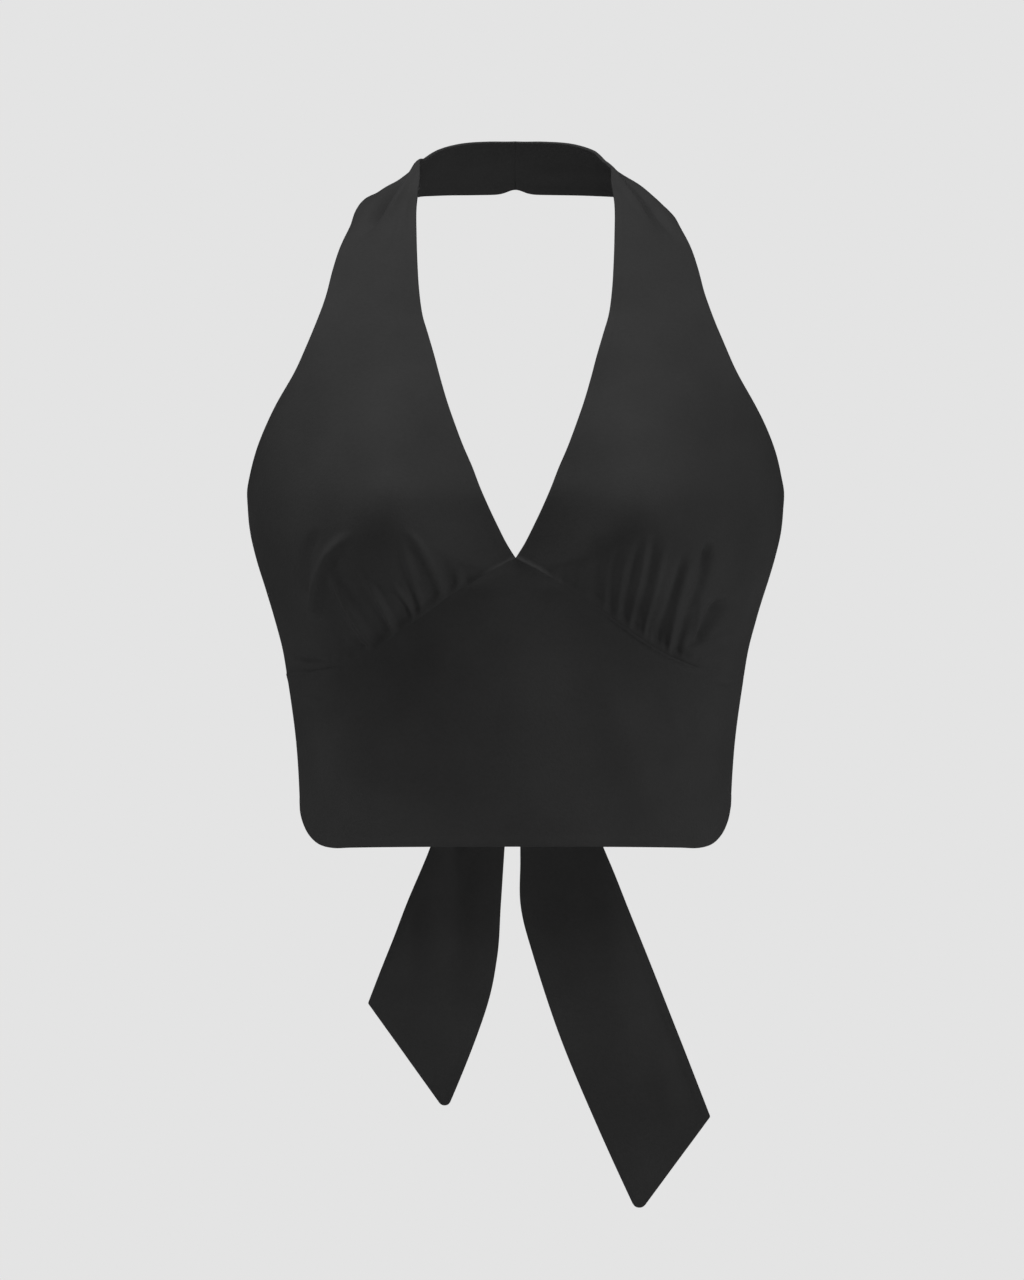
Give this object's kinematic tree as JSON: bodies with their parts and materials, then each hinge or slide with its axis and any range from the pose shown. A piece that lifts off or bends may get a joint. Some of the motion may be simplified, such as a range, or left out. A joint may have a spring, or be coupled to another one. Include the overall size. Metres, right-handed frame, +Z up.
{
  "type": "halter neck top",
  "caption": "Black halter neck crop top: gathered cups run up into a strap round the nape, with a pointed midriff panel and back wings tied in a knot with slanted tails.",
  "frame": {"origin": "middle of the strap at the nape, where the neck holds the top up", "axes": "+Z up, the front faces -Y, the wearer's left is +X"},
  "size_m": [0.3174, 0.2478, 0.6522],
  "materials": {
    "crepe": "matte black stretch crepe"
  },
  "bodies": {
    "root": {"cup_left": "crepe", "cup_right": "crepe", "midriff_front": "crepe", "wing_left": "crepe", "wing_right": "crepe", "tie_knot": "crepe", "tie_tail_left": "crepe", "tie_tail_right": "crepe"}
  },
  "joints": []
}
